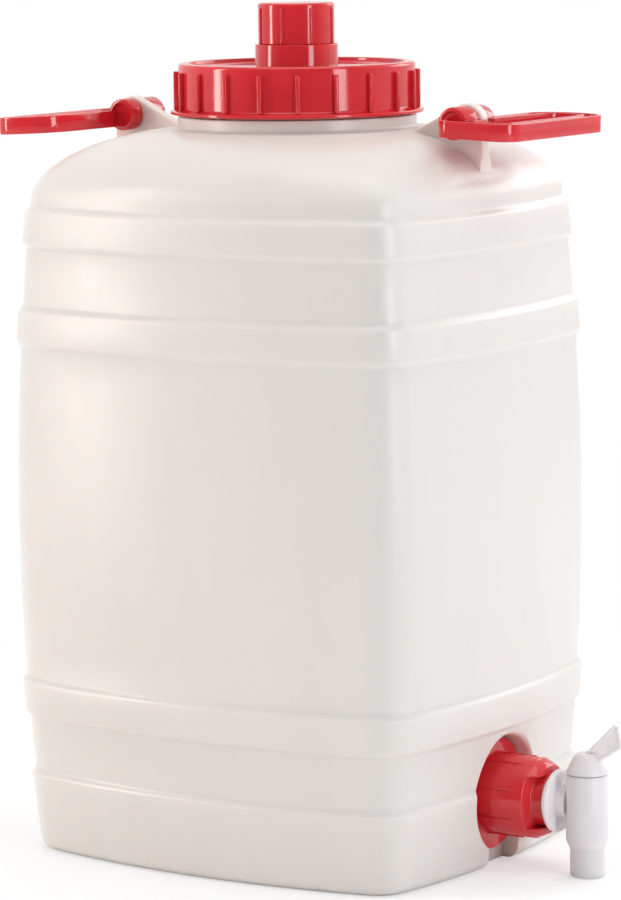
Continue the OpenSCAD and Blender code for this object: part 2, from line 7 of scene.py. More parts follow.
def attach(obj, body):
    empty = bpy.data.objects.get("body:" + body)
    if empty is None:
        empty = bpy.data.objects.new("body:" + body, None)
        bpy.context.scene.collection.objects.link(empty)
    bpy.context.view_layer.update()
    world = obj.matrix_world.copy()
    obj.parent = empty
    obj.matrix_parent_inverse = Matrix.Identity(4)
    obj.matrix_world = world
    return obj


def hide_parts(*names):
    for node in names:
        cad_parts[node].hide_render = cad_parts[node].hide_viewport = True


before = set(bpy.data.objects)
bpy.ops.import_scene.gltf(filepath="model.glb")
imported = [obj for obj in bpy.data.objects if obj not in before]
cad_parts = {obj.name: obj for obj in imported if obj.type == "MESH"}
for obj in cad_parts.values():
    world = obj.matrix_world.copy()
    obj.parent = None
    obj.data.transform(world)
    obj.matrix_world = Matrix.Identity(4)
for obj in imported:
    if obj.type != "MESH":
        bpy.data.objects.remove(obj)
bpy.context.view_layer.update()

# ---------------------------------------------------------------- vessel
# The body is one blow-moulded shell of natural polyethylene: four bowed faces with rounded
# corners, raised hoops, a domed shoulder that closes to a round collar and threaded neck, and
# two ears pinched out of the shoulder in the mould's parting plane.

half_w = 0.1625                      # half the body's size across the narrow faces
half_d = 0.144                       # half its depth across the wide faces
wide_bow, side_bow = 0.024, 0.022    # how far each face bulges
corner_r = 0.036
waist_z, bulge_r = 0.220, 1.85       # where the body is widest, and its upright curve
shoulder_z, shoulder_h, shoulder_power = 0.430, 0.043, 1.8
foot_h, foot_taper, base_round = 0.056, 0.001, 0.007
hoop_rise, hoop_edge, hoop_h = 0.003, 0.005, 0.029
hoop_feet = (0.089, 0.333, 0.397)
wall = 0.0026
collar_r, collar_top = 0.0778, 0.4815
neck_r, neck_top = 0.0725, 0.508
neck_in_r = 0.0695
thread_pitch, thread_turns = 0.008, 1.25
neck_thread_z, neck_thread_foot, neck_thread_crest = 0.4902, 0.0042, 0.0016

wide_r = (half_w ** 2 + wide_bow ** 2) / (2 * wide_bow)
side_r = (half_d ** 2 + side_bow ** 2) / (2 * side_bow)
wide_c = Vector((0, half_d - wide_r))
side_c = Vector((half_w - side_r, 0))


def circles_meet(c1, r1, c2, r2):
    gap = (c2 - c1).length
    along = (r1 * r1 - r2 * r2 + gap * gap) / (2 * gap)
    across = math.sqrt(r1 * r1 - along * along)
    u = (c2 - c1) / gap
    return c1 + u * along + across * Vector((-u.y, u.x))


corner_c = circles_meet(side_c, side_r - corner_r, wide_c, wide_r - corner_r)
side_end = math.atan2(corner_c.y - side_c.y, corner_c.x - side_c.x)
wide_start = math.atan2(corner_c.y - wide_c.y, corner_c.x - wide_c.x)


def ease(t):
    t = min(1.0, max(0.0, t))
    return t * t * (3 - 2 * t)


def wall_inset(z):
    """How far the wall stands inside the waist's outline at height z."""
    hoops = [ease(min(z - h, h + hoop_h - z) / hoop_edge) for h in hoop_feet]
    raised = max(hoops + [ease((foot_h - z) / hoop_edge)])
    bow = (min(z, shoulder_z) - waist_z) ** 2 / (2 * bulge_r)
    return bow + max(0, foot_h - z) / foot_h * foot_taper - hoop_rise * raised


def draw_line(name, points):
    """A chain of edges in the XZ plane, drawn point by point, left selected in edit mode."""
    bpy.ops.object.select_all(action="DESELECT")
    bpy.ops.mesh.primitive_plane_add(size=0.001, location=(0, 0, 0))
    piece = bpy.context.object
    piece.name = name
    bpy.ops.object.mode_set(mode="EDIT")
    bpy.ops.mesh.select_mode(type="VERT")
    bpy.ops.mesh.merge(type="CENTER")
    bpy.ops.transform.translate(value=(points[0][0], 0, points[0][1]))
    for (x0, z0), (x1, z1) in zip(points, points[1:]):
        bpy.ops.mesh.extrude_region_move(
            TRANSFORM_OT_translate={"value": (x1 - x0, 0, z1 - z0)})
    bpy.ops.mesh.select_all(action="SELECT")
    return piece


def spin_on(centre, angle, steps):
    """Turns the selected edge anticlockwise about an upright axis; its far end is left selected."""
    bpy.ops.mesh.spin(steps=steps, angle=-angle, center=(centre[0], centre[1], 0),
                      axis=(0, 0, 1))


def close_up(piece):
    """Merges doubles, turns every face outwards and leaves edit mode."""
    bpy.ops.mesh.select_all(action="SELECT")
    bpy.ops.mesh.remove_doubles(threshold=0.00001)
    bpy.ops.mesh.normals_make_consistent(inside=False)
    bpy.ops.object.mode_set(mode="OBJECT")
    return piece


def pick(piece):
    bpy.ops.object.select_all(action="DESELECT")
    bpy.context.view_layer.objects.active = piece
    piece.select_set(True)


def apply_modifier(piece, kind, **settings):
    pick(piece)
    modifier = piece.modifiers.new(kind.lower(), kind)
    for key, value in settings.items():
        setattr(modifier, key, value)
    bpy.ops.object.modifier_apply(modifier=modifier.name)


def settle(piece, place=(0, 0, 0), turn=(0, 0, 0)):
    """Moves and turns a piece, and makes that the form of its mesh."""
    pick(piece)
    piece.location, piece.rotation_euler = place, turn
    bpy.ops.object.transform_apply(location=True, rotation=True, scale=True)
    return piece


def combine(piece, tool, operation):
    """Joins, cuts or keeps a piece with another solid, which is then thrown away."""
    apply_modifier(piece, "BOOLEAN", operation=operation, object=tool, solver="EXACT")
    bpy.data.objects.remove(tool)


def select_verts(piece, test):
    """Selects, in edit mode, the vertices whose place passes the test."""
    bpy.ops.mesh.select_mode(type="VERT")
    bpy.ops.mesh.select_all(action="DESELECT")
    bpy.ops.object.mode_set(mode="OBJECT")
    for v in piece.data.vertices:
        v.select = test(v.co)
    bpy.ops.object.mode_set(mode="EDIT")


edge_steps = [i / 5 for i in range(6)]
levels = [base_round + (foot_h - hoop_edge - base_round) * i / 4 for i in range(1, 4)]
levels += [foot_h - (1 - e) * hoop_edge for e in edge_steps]
levels.append((foot_h + hoop_feet[0]) / 2)
for foot in hoop_feet:
    levels += [foot + e * hoop_edge for e in edge_steps]
    levels += [foot + hoop_h / 2]
    levels += [foot + hoop_h - (1 - e) * hoop_edge for e in edge_steps]
low_top, mid_foot = hoop_feet[0] + hoop_h, hoop_feet[1]
levels += [low_top + (mid_foot - low_top) * i / 10 for i in range(1, 10)]
levels += [(hoop_feet[1] + hoop_h + hoop_feet[2]) / 2, shoulder_z - 0.0006]
levels.sort()

side_line = []
for i in range(7):
    a = math.radians(90 * i / 6)
    z = base_round * (1 - math.cos(a))
    side_line.append((half_w - wall_inset(z) - base_round * (1 - math.sin(a)), z))
side_line += [(half_w - wall_inset(z), z) for z in levels]

vessel = draw_line("vessel_body", side_line)
spin_on(side_c, side_end, 12)
spin_on(corner_c, wide_start - side_end, 14)
spin_on(wide_c, math.pi / 2 - wide_start, 14)
close_up(vessel)
apply_modifier(vessel, "MIRROR", use_axis=(True, True, False), merge_threshold=0.00002)

# The shoulder rises ring by ring, each one rounder than the last, to the collar and neck.
wall_top = levels[-1]
root_r = collar_r + 0.0022


def mean_radius(piece):
    ring = [v.co for v in piece.data.vertices if v.select]
    return sum(Vector((c.x, c.y)).length for c in ring) / len(ring)


bpy.ops.object.mode_set(mode="EDIT")
select_verts(vessel, lambda c: c.z < 0.00001)
bpy.ops.mesh.edge_face_add()
select_verts(vessel, lambda c: c.z > wall_top - 0.0001)
vessel.update_from_editmode()
start_r = mean_radius(vessel)
ring_z, ring_r, ring_share = wall_top, start_r, 0.0
for degrees in [4, 9] + list(range(14, 80, 5)) + [82, 86, 90]:
    a = math.radians(degrees)
    z = shoulder_z + shoulder_h * math.sin(a) ** (2 / shoulder_power)
    share = 1 - math.cos(a) ** (2 / shoulder_power) if degrees < 90 else 1.0
    r = start_r + (root_r - start_r) * share
    grow = r / ring_r
    rounder = 1 - (1 - share) / ((1 - ring_share) * grow)
    bpy.ops.mesh.extrude_region_move(TRANSFORM_OT_translate={"value": (0, 0, z - ring_z)})
    bpy.ops.transform.tosphere(value=rounder)
    bpy.ops.transform.resize(value=(grow, grow, 1), center_override=(0, 0, z))
    ring_z, ring_r, ring_share = z, r, share

# The hollow inside is the same form a wall's thickness smaller, carried up through the neck.
bpy.ops.object.mode_set(mode="OBJECT")
bpy.ops.object.duplicate(linked=False)
hollow = bpy.context.object
hollow.name = "hollow"
bpy.ops.object.mode_set(mode="EDIT")
bpy.ops.mesh.select_all(action="SELECT")
bpy.ops.mesh.normals_make_consistent(inside=False)
bpy.ops.transform.shrink_fatten(value=-wall, use_even_offset=True)
bpy.ops.mesh.select_all(action="DESELECT")
bpy.ops.mesh.select_non_manifold()
hollow.update_from_editmode()
inner_z, inner_r = shoulder_z + shoulder_h - wall, mean_radius(hollow)
for r, z in ((neck_in_r + 0.001, inner_z + 0.0008), (neck_in_r, inner_z + 0.002),
             (neck_in_r, neck_top + 0.01)):
    bpy.ops.mesh.extrude_region_move(TRANSFORM_OT_translate={"value": (0, 0, z - inner_z)})
    bpy.ops.transform.resize(value=(r / inner_r, r / inner_r, 1), center_override=(0, 0, z))
    inner_z, inner_r = z, r
bpy.ops.mesh.edge_face_add()
close_up(hollow)

pick(vessel)
bpy.ops.object.mode_set(mode="EDIT")
select_verts(vessel, lambda c: c.z > shoulder_z + shoulder_h - 0.00005)
neck_line = [(collar_r + 0.0008, 0.4735), (collar_r + 0.0001, 0.4744), (collar_r, 0.476),
             (collar_r, collar_top - 0.0012), (collar_r - 0.0004, collar_top - 0.0003),
             (collar_r - 0.0013, collar_top), (neck_r + 0.0012, collar_top),
             (neck_r + 0.0003, collar_top + 0.0004), (neck_r, collar_top + 0.0013),
             (neck_r, neck_top - 0.0008), (neck_r - 0.0008, neck_top)]
for r, z in neck_line:
    bpy.ops.mesh.extrude_region_move(TRANSFORM_OT_translate={"value": (0, 0, z - ring_z)})
    bpy.ops.transform.resize(value=(r / ring_r, r / ring_r, 1), center_override=(0, 0, z))
    ring_z, ring_r = z, r
bpy.ops.mesh.edge_face_add()
close_up(vessel)

# The outlet sits in a round recess with a soft lip, with a slot below it down to the base.
outlet_z, seat_x, recess_r, slot_w = 0.047, 0.140, 0.038, 0.038
stub_r, stub_bore_r, stub_end = 0.019, 0.014, 0.169
cut_end, slot_reach = 0.19, 0.041     # how far the cutting solids run out
lip = [(0.0055 * (1 - math.cos(math.radians(a))), 0.0125 + 0.0051 * math.sin(math.radians(a)))
       for a in (0, 18, 36, 54, 72, 90)]


def lathe(name, profile, steps=96):
    """A solid turned about Z from the (radius, height) points of its section."""
    open_at_axis = profile[0][0] == 0 and profile[-1][0] == 0
    piece = draw_line(name, profile if open_at_axis else profile + [profile[0]])
    spin_on((0, 0), 2 * math.pi, steps)
    return close_up(piece)


def lay_along_x(piece, z):
    """Lays a piece turned about Z along +X, at height z."""
    return settle(piece, (0, 0, z), (0, math.pi / 2, 0))


def block(name, low, high):
    """A solid box between two corners, left in object mode."""
    bpy.ops.object.select_all(action="DESELECT")
    bpy.ops.mesh.primitive_cube_add(size=1)
    piece = bpy.context.object
    piece.name = name
    bpy.ops.object.mode_set(mode="EDIT")
    bpy.ops.transform.resize(value=[h - l for l, h in zip(low, high)], center_override=(0, 0, 0))
    bpy.ops.transform.translate(value=[(l + h) / 2 for l, h in zip(low, high)])
    bpy.ops.object.mode_set(mode="OBJECT")
    return piece


recess = lathe("recess", [(0, seat_x), (recess_r - 0.002, seat_x),
                          (recess_r - 0.0006, seat_x + 0.0006), (recess_r, seat_x + 0.002)]
               + [(recess_r + g, seat_x + x) for g, x in lip]
               + [(recess_r + lip[-1][0], cut_end), (0, cut_end)])
lay_along_x(recess, outlet_z)
combine(vessel, recess, "DIFFERENCE")
slot = block("slot", (seat_x, -slot_w / 2, -0.001), (seat_x + lip[0][1], slot_w / 2, outlet_z))
bpy.ops.object.mode_set(mode="EDIT")
select_verts(slot, lambda c: c.x > seat_x + 0.001)
slot_half, slot_x = slot_w / 2, seat_x + lip[0][1]
for g, x in lip[1:] + [(lip[-1][0], slot_reach)]:
    bpy.ops.mesh.extrude_region_move(
        TRANSFORM_OT_translate={"value": (seat_x + x - slot_x, 0, 0)})
    bpy.ops.transform.resize(value=(1, (slot_w / 2 + g) / slot_half, 1),
                             center_override=(seat_x + x, 0, 0))
    slot_half, slot_x = slot_w / 2 + g, seat_x + x
close_up(slot)
combine(vessel, slot, "DIFFERENCE")


def thread_ridge(name, root_r, crest_r, z, pitch, turns, foot_w, crest_w, steps=60):
    """A right-handed thread ridge about Z, from its root radius to its crest."""
    ridge = draw_line(name, [(root_r, z - foot_w / 2), (crest_r, z - crest_w / 2),
                             (crest_r, z + crest_w / 2), (root_r, z + foot_w / 2),
                             (root_r, z - foot_w / 2)])
    bpy.ops.mesh.remove_doubles(threshold=0.00001)
    bpy.ops.object.mode_set(mode="OBJECT")
    apply_modifier(ridge, "SCREW", axis="Z", angle=2 * math.pi * turns,
                   screw_offset=pitch * turns, steps=int(steps * turns),
                   render_steps=int(steps * turns), use_merge_vertices=False)
    bpy.ops.object.mode_set(mode="EDIT")
    bpy.ops.mesh.select_all(action="SELECT")
    bpy.ops.mesh.fill_holes(sides=4)
    return close_up(ridge)


combine(vessel, thread_ridge("neck_thread", neck_r - 0.0006, neck_r + 0.0017,
                             neck_thread_z, thread_pitch, thread_turns, neck_thread_foot,
                             neck_thread_crest), "UNION")

# Each ear is a fin in the parting plane with a hole for the handle's pins; its foot flares.
hinge_x, hinge_z, ear_t, ear_r, pin_r = 0.130, 0.479, 0.008, 0.012, 0.006
shoulder_full = half_w - wall_inset(shoulder_z)
dome_r = neck_r + 0.001


def shoulder_height(x):
    w = (shoulder_full - x) / (shoulder_full - dome_r)
    return shoulder_z + shoulder_h * (1 - (1 - w) ** shoulder_power) ** (1 / shoulder_power)


def tangent_angle(point, side):
    """Where a line from the point touches the ear's round top, as an angle."""
    away = Vector(point) - Vector((hinge_x, hinge_z))
    angle = math.atan2(away.y, away.x) - side * math.acos(ear_r / away.length)
    return angle % (2 * math.pi)


root_in, root_out = dome_r + 0.014, hinge_x + 0.013
ear_in = (root_in, shoulder_height(root_in) - wall / 2)
ear_out = (root_out, shoulder_height(root_out) - wall / 2)
first, last = tangent_angle(ear_out, -1), tangent_angle(ear_in, 1)
ear_line = [ear_out]
ear_line += [(hinge_x + ear_r * math.cos(first + (last - first) * i / 20),
              hinge_z + ear_r * math.sin(first + (last - first) * i / 20)) for i in range(21)]
ear_line += [ear_in]
for i in range(1, 8):
    x = root_in + (root_out - root_in) * i / 8
    ear_line.append((x, shoulder_height(x) - wall / 2))


def plate_along_y(name, outline, y0, y1):
    """A flat plate in the XZ plane, from its outline, between y0 and y1."""
    piece = draw_line(name, outline)
    bpy.ops.mesh.edge_face_add()
    bpy.ops.transform.translate(value=(0, y0, 0))
    bpy.ops.mesh.extrude_region_move(TRANSFORM_OT_translate={"value": (0, y1 - y0, 0)})
    return close_up(piece)


def soften(piece, width, segments=3, angle=32):
    """Rounds every sharp edge of a piece."""
    apply_modifier(piece, "BEVEL", width=width, segments=segments, limit_method="ANGLE",
                   angle_limit=math.radians(angle), miter_outer="MITER_ARC",
                   use_clamp_overlap=True)


def turned_copy(piece, turn):
    """A copy with its own mesh, turned about Z."""
    pick(piece)
    bpy.ops.object.duplicate(linked=False)
    return settle(bpy.context.object, turn=(0, 0, turn))


ear = plate_along_y("ear", ear_line, -ear_t / 2, ear_t / 2)
soften(ear, 0.0012)
bpy.ops.object.mode_set(mode="EDIT")
ear_foot = shoulder_height(hinge_x)
for rise, grow in ((0.0045, 1.05), (0.0015, 1.09), (-0.0015, 1.16), (-0.0045, 1.3)):
    bpy.ops.mesh.select_all(action="SELECT")
    bpy.ops.mesh.bisect(plane_co=(0, 0, ear_foot + rise), plane_no=(0, 0, 1))
    select_verts(ear, lambda c: c.z < ear_foot + rise + 0.0001)
    bpy.ops.transform.resize(value=(1, grow, 1), center_override=(0, 0, 0))
close_up(ear)
pin_hole = lathe("pin_hole", [(0, -0.02), (pin_r, -0.02), (pin_r, 0.02), (0, 0.02)], 48)
settle(pin_hole, (hinge_x, 0, hinge_z), (math.pi / 2, 0, 0))
combine(ear, pin_hole, "DIFFERENCE")
far_ear = turned_copy(ear, math.pi)
combine(vessel, ear, "UNION")
combine(vessel, far_ear, "UNION")

# The stub takes the union nut. The hollow keeps clear of the recess and its slot.
stub = lathe("stub", [(0, seat_x - 0.001), (stub_r + 0.002, seat_x - 0.001),
                      (stub_r + 0.0004, seat_x + 0.0006), (stub_r, seat_x + 0.002),
                      (stub_r, stub_end - 0.001), (stub_r - 0.001, stub_end), (0, stub_end)], 64)
combine(vessel, lay_along_x(stub, outlet_z), "UNION")
pad_t, pad_margin = 0.0035, 0.0045
pad_x, pad_r, pad_half = seat_x - pad_t, recess_r + pad_margin, slot_w / 2 + pad_margin
pad = lathe("pad", [(0, pad_x), (pad_r, pad_x), (pad_r, cut_end), (0, cut_end)])
combine(hollow, lay_along_x(pad, outlet_z), "DIFFERENCE")
combine(hollow, block("slot_pad", (pad_x, -pad_half, -0.01), (cut_end, pad_half, outlet_z)),
        "DIFFERENCE")
combine(vessel, hollow, "DIFFERENCE")
bore = lathe("bore", [(0, pad_x - 0.01), (stub_bore_r, pad_x - 0.01), (stub_bore_r, 0.18),
                      (0, 0.18)], 64)
combine(vessel, lay_along_x(bore, outlet_z), "DIFFERENCE")


def finish_mesh(piece, sharp=40):
    """Cleans the mesh up and shades it smooth except over sharp edges."""
    pick(piece)
    bpy.ops.object.mode_set(mode="EDIT")
    close_up(piece)
    bpy.ops.object.shade_smooth_by_angle(angle=math.radians(sharp))


finish_mesh(vessel)


def node(tree, kind, **values):
    made = tree.nodes.new("ShaderNode" + kind)
    for key, value in values.items():
        if key in made.inputs:
            made.inputs[key].default_value = value
        else:
            setattr(made, key, value)
    return made


def moulded_plastic(name, light, dark, grain, rough, ripple):
    """Two close tones drawn out along the mould, a gently uneven gloss and a fine ripple."""
    material = bpy.data.materials.new(name)
    material.use_nodes = True
    tree = material.node_tree
    shader = tree.nodes["Principled BSDF"]
    place = node(tree, "TexCoord")
    drawn_out = node(tree, "Mapping")
    drawn_out.inputs["Scale"].default_value = grain
    tree.links.new(place.outputs["Object"], drawn_out.inputs["Vector"])
    flow = node(tree, "TexNoise", Scale=6.0, Detail=5.0, Roughness=0.6)
    tree.links.new(drawn_out.outputs["Vector"], flow.inputs["Vector"])
    tones = node(tree, "ValToRGB")
    tones.color_ramp.elements[0].position = 0.35
    tones.color_ramp.elements[0].color = (*dark, 1)
    tones.color_ramp.elements[1].position = 0.65
    tones.color_ramp.elements[1].color = (*light, 1)
    tree.links.new(flow.outputs["Fac"], tones.inputs["Fac"])
    tree.links.new(tones.outputs["Color"], shader.inputs["Base Color"])
    patch = node(tree, "TexNoise", Scale=38.0, Detail=3.0)
    tree.links.new(place.outputs["Object"], patch.inputs["Vector"])
    gloss = node(tree, "MapRange")
    gloss.inputs["From Min"].default_value = 0.3
    gloss.inputs["From Max"].default_value = 0.7
    gloss.inputs["To Min"].default_value = rough[0]
    gloss.inputs["To Max"].default_value = rough[1]
    tree.links.new(patch.outputs["Fac"], gloss.inputs["Value"])
    tree.links.new(gloss.outputs["Result"], shader.inputs["Roughness"])
    skin = node(tree, "TexNoise", Scale=420.0, Detail=2.0)
    tree.links.new(place.outputs["Object"], skin.inputs["Vector"])
    bump = node(tree, "Bump", Strength=ripple, Distance=0.0002)
    tree.links.new(skin.outputs["Fac"], bump.inputs["Height"])
    tree.links.new(bump.outputs["Normal"], shader.inputs["Normal"])
    return material, shader


def put_on(piece, material):
    piece.data.materials.clear()
    piece.data.materials.append(material)


hdpe, hdpe_shader = moulded_plastic(
    "natural_hdpe", (0.76, 0.705, 0.665), (0.74, 0.685, 0.645), (3, 3, 0.5), (0.285, 0.35), 0.10)
hdpe_shader.inputs["Subsurface Weight"].default_value = 0.5
hdpe_shader.inputs["Subsurface Radius"].default_value = (1.0, 0.8, 0.65)
hdpe_shader.inputs["Subsurface Scale"].default_value = 0.008
put_on(vessel, hdpe)
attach(vessel, "vessel_body")
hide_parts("vessel")

# ---------------------------------------------------------------- outlet washer
# A flat ring of pale silicone rubber, punched from sheet, that the union nut squeezes between the
# stub's end and its own shoulder.

rubber = moulded_plastic("washer_rubber", (0.78, 0.76, 0.72), (0.70, 0.68, 0.64),
                         (1, 1, 1), (0.5, 0.65), 0.5)[0]
put_on(bpy.data.objects["outlet_washer"], rubber)

# ---------------------------------------------------------------- outlet union nut
# One injection moulding in glossy red plastic: a broad flange in the recess, a round ribbed
# part for the fingers, and a narrow neck between two lugs for a spanner. It screws on the stub.

nut_x, nut_flange_r, nut_flange_t = 0.142, 0.0365, 0.0035
nut_r, neck_x, nut_end, nut_neck_r, lug_end = 0.026, 0.1805, 0.190, 0.0173, 0.1875
nut_in_r, shank_r, nut_back = 0.021, 0.013, 0.141
lug_r, lug_edge_r = 0.0228, 0.0216
nut_ribs, nut_rib_w = 8, 0.0016


def ring_of_ribs(rib, count, axis="Z", start=0.0):
    """Copies one rib round the axis from a start angle and joins the copies into one."""
    ribs = [rib]
    for i in range(1, count):
        pick(rib)
        bpy.ops.object.duplicate(linked=False)
        angle = 2 * math.pi * i / count
        ribs.append(settle(bpy.context.object,
                           turn=(0, 0, angle) if axis == "Z" else (angle, 0, 0)))
    bpy.ops.object.select_all(action="DESELECT")
    for twin in ribs:
        twin.select_set(True)
    bpy.context.view_layer.objects.active = rib
    bpy.ops.object.join()
    return settle(rib, turn=(0, 0, start) if axis == "Z" else (start, 0, 0))


nut = lathe("union_nut", [(0, nut_x), (nut_flange_r, nut_x), (nut_flange_r, nut_x + nut_flange_t),
                          (nut_r + 0.001, nut_x + nut_flange_t),
                          (nut_r, nut_x + nut_flange_t + 0.001), (nut_r, neck_x - 0.0010),
                          (nut_r - 0.0003, neck_x - 0.0003), (nut_r - 0.0010, neck_x),
                          (nut_neck_r + 0.0022, neck_x + 0.0014),
                          (nut_neck_r + 0.0006, neck_x + 0.0022),
                          (nut_neck_r, neck_x + 0.0036), (nut_neck_r, nut_end), (0, nut_end)])
soften(nut, 0.0005)
lugs = lathe("nut_lugs", [(0, neck_x - 0.001), (nut_r - 0.0004, neck_x - 0.001),
                          (nut_r - 0.0008, neck_x + 0.0008), (lug_r, lug_end - 0.0012),
                          (lug_edge_r, lug_end), (0, lug_end)])
combine(lugs, block("lug_gap", (-0.04, 0.0004 - nut_neck_r, neck_x - 0.002),
                    (0.04, nut_neck_r - 0.0004, lug_end + 0.002)), "DIFFERENCE")
soften(lugs, 0.0005)
settle(lugs, turn=(0, 0, math.pi / 2))
combine(nut, lugs, "UNION")
for r, low, high in ((nut_in_r, nut_back, stub_end + 0.002), (shank_r, nut_back, 0.2)):
    combine(nut, lathe("bore", [(0, low), (r, low), (r, high), (0, high)]), "DIFFERENCE")
lay_along_x(nut, 0)
nut_rib = block("nut_rib", (nut_x + nut_flange_t - 0.0005, -nut_rib_w / 2, nut_r - 0.001),
                (neck_x - 0.008, nut_rib_w / 2, nut_r + 0.0008))
soften(nut_rib, 0.0004)
combine(nut, ring_of_ribs(nut_rib, nut_ribs, "X", math.radians(25)), "UNION")
settle(nut, (0, 0, outlet_z))
finish_mesh(nut, 34)

red, red_shader = moulded_plastic(
    "red_plastic", (0.66, 0.022, 0.030), (0.56, 0.015, 0.024), (2, 2, 6), (0.07, 0.13), 0.10)
red_shader.inputs["Subsurface Weight"].default_value = 0.12
red_shader.inputs["Subsurface Radius"].default_value = (1.0, 0.25, 0.2)
red_shader.inputs["Subsurface Scale"].default_value = 0.003
put_on(nut, red)
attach(nut, "vessel_body")
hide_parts("outlet_union_nut")

# ---------------------------------------------------------------- tap washer
# A second flat silicone ring on the tap's shank, between the nut's end and the tap's flange.

put_on(bpy.data.objects["tap_washer"], rubber)

# ---------------------------------------------------------------- tap body
# One moulding in translucent white polyethylene: shank, round flange, short pipe and an upright
# barrel that narrows to a mouth for a hose. Its shank passes through the washer and the nut.

barrel_x, barrel_r, barrel_foot, barrel_top = 0.214, 0.0135, 0.023, 0.0665
mouth_r, mouth_bore_r, mouth_z = 0.011, 0.0085, 0.001
tap_x, tap_flange_r, tap_flange_t = 0.192, 0.0205, 0.004
shank_bore_r, plug_r, turn_gap = 0.0065, 0.010, 0.00005
shank_start, pipe_r = 0.173, 0.0110

tap = lathe("tap", [(mouth_bore_r, mouth_z), (mouth_r - 0.0004, mouth_z),
                    (mouth_r, mouth_z + 0.0006), (mouth_r, barrel_foot - 0.0045),
                    (mouth_r + 0.0006, barrel_foot - 0.0036),
                    (barrel_r - 0.0006, barrel_foot - 0.0006),
                    (barrel_r, barrel_foot + 0.0008), (barrel_r, barrel_top - 0.0006),
                    (barrel_r - 0.0005, barrel_top), (plug_r + turn_gap, barrel_top),
                    (plug_r + turn_gap, barrel_foot + 0.003),
                    (mouth_bore_r, barrel_foot + 0.003)], 64)
settle(tap, (barrel_x, 0, 0))
pipe = lathe("pipe", [(0, shank_start), (shank_r, shank_start), (shank_r, tap_x + 0.0005),
                      (tap_flange_r - 0.0012, tap_x), (tap_flange_r - 0.0003, tap_x + 0.0005),
                      (tap_flange_r, tap_x + 0.0014),
                      (tap_flange_r, tap_x + tap_flange_t - 0.0018),
                      (tap_flange_r - 0.0006, tap_x + tap_flange_t - 0.0007),
                      (tap_flange_r - 0.0022, tap_x + tap_flange_t),
                      (0.0126, tap_x + tap_flange_t), (0.0114, tap_x + tap_flange_t + 0.0005),
                      (pipe_r, tap_x + tap_flange_t + 0.0016), (pipe_r, barrel_x - 0.0115),
                      (0, barrel_x - 0.0115)], 64)
combine(tap, lay_along_x(pipe, outlet_z), "UNION")
pipe_bore = lathe("pipe_bore", [(0, 0.17), (shank_bore_r, 0.17), (shank_bore_r, barrel_x),
                                (0, barrel_x)], 48)
combine(tap, lay_along_x(pipe_bore, outlet_z), "DIFFERENCE")
finish_mesh(tap)

clear_white, clear_shader = moulded_plastic(
    "tap_plastic", (0.78, 0.74, 0.75), (0.74, 0.70, 0.71), (3, 3, 1), (0.28, 0.36), 0.08)
clear_shader.inputs["Subsurface Weight"].default_value = 0.6
clear_shader.inputs["Subsurface Radius"].default_value = (1.0, 0.95, 0.95)
clear_shader.inputs["Subsurface Scale"].default_value = 0.006
put_on(tap, clear_white)
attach(tap, "vessel_body")
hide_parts("tap_body")

# ---------------------------------------------------------------- tap plug
# The turning part of the tap: a plug with a waterway, a conical head that sits on the barrel
# and an upright lever blade with a raised edge, all one moulding in the same white plastic.

plug_foot, head_z, head_top, head_top_r = 0.0265, 0.067, 0.080, 0.007
lever_l, lever_rise, lever_w, lever_t, tip_r = 0.0255, 0.0205, 0.016, 0.0032, 0.0025

plug = lathe("plug", [(0, plug_foot), (plug_r - 0.0005, plug_foot), (plug_r, plug_foot + 0.0005),
                      (plug_r, head_z), (barrel_r - 0.0003, head_z),
                      (barrel_r, head_z + 0.0003), (barrel_r - 0.0002, head_z + 0.0014),
                      (barrel_r - 0.0012, head_z + 0.0032),
                      (head_top_r + 0.0022, head_top - 0.0034),
                      (head_top_r + 0.0004, head_top - 0.0008), (head_top_r - 0.0008, head_top),
                      (0, head_top)], 64)
combine(plug, lathe("waterway", [(0, 0.02), (0.007, 0.02), (0.007, outlet_z + shank_bore_r),
                                 (0, outlet_z + shank_bore_r)], 48), "DIFFERENCE")
port = lathe("port", [(0, 0), (shank_bore_r - 0.0005, 0), (shank_bore_r - 0.0005, 0.02),
                      (0, 0.02)], 48)
settle(port, (0, 0, outlet_z), (-math.pi / 2, 0, 0))
combine(plug, port, "DIFFERENCE")


def select_faces(piece, test):
    """Selects the faces that pass the test, and stays in edit mode."""
    pick(piece)
    bpy.ops.object.mode_set(mode="EDIT")
    bpy.ops.mesh.select_mode(type="FACE")
    bpy.ops.mesh.select_all(action="DESELECT")
    bpy.ops.object.mode_set(mode="OBJECT")
    for face in piece.data.polygons:
        face.select = test(face)
    bpy.ops.object.mode_set(mode="EDIT")


high_tip = Vector((lever_l - tip_r - 0.002, lever_rise - tip_r))
low_tip = Vector((lever_l - tip_r, lever_rise - lever_w + tip_r))


def bend(centre, start, end, steps=6):
    """Points on an arc of the tip's radius, anticlockwise from one angle to the other."""
    turns = [math.radians(start + (end - start) * i / steps) for i in range(steps + 1)]
    return [(centre.x + tip_r * math.cos(t), centre.y + tip_r * math.sin(t)) for t in turns]


lever_line = [(-0.0015, -0.001), (0.006, -0.007)] + bend(low_tip, -55, 11)
lever_line += bend(high_tip, 11, 135)
lever = plate_along_y("lever", lever_line, -lever_t / 2, lever_t / 2)
settle(lever, (0, 0, head_top))
select_faces(lever, lambda face: abs(face.normal.y) > 0.9)
bpy.ops.mesh.inset(thickness=0.0018, depth=0, use_individual=True)
bpy.ops.mesh.inset(thickness=0.0003, depth=-0.0007, use_individual=True)
close_up(lever)
soften(lever, 0.0004, 2)
combine(plug, lever, "UNION")
settle(plug, (barrel_x, 0, 0))
finish_mesh(plug)
put_on(plug, clear_white)
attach(plug, "tap_plug")
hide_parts("tap_plug")

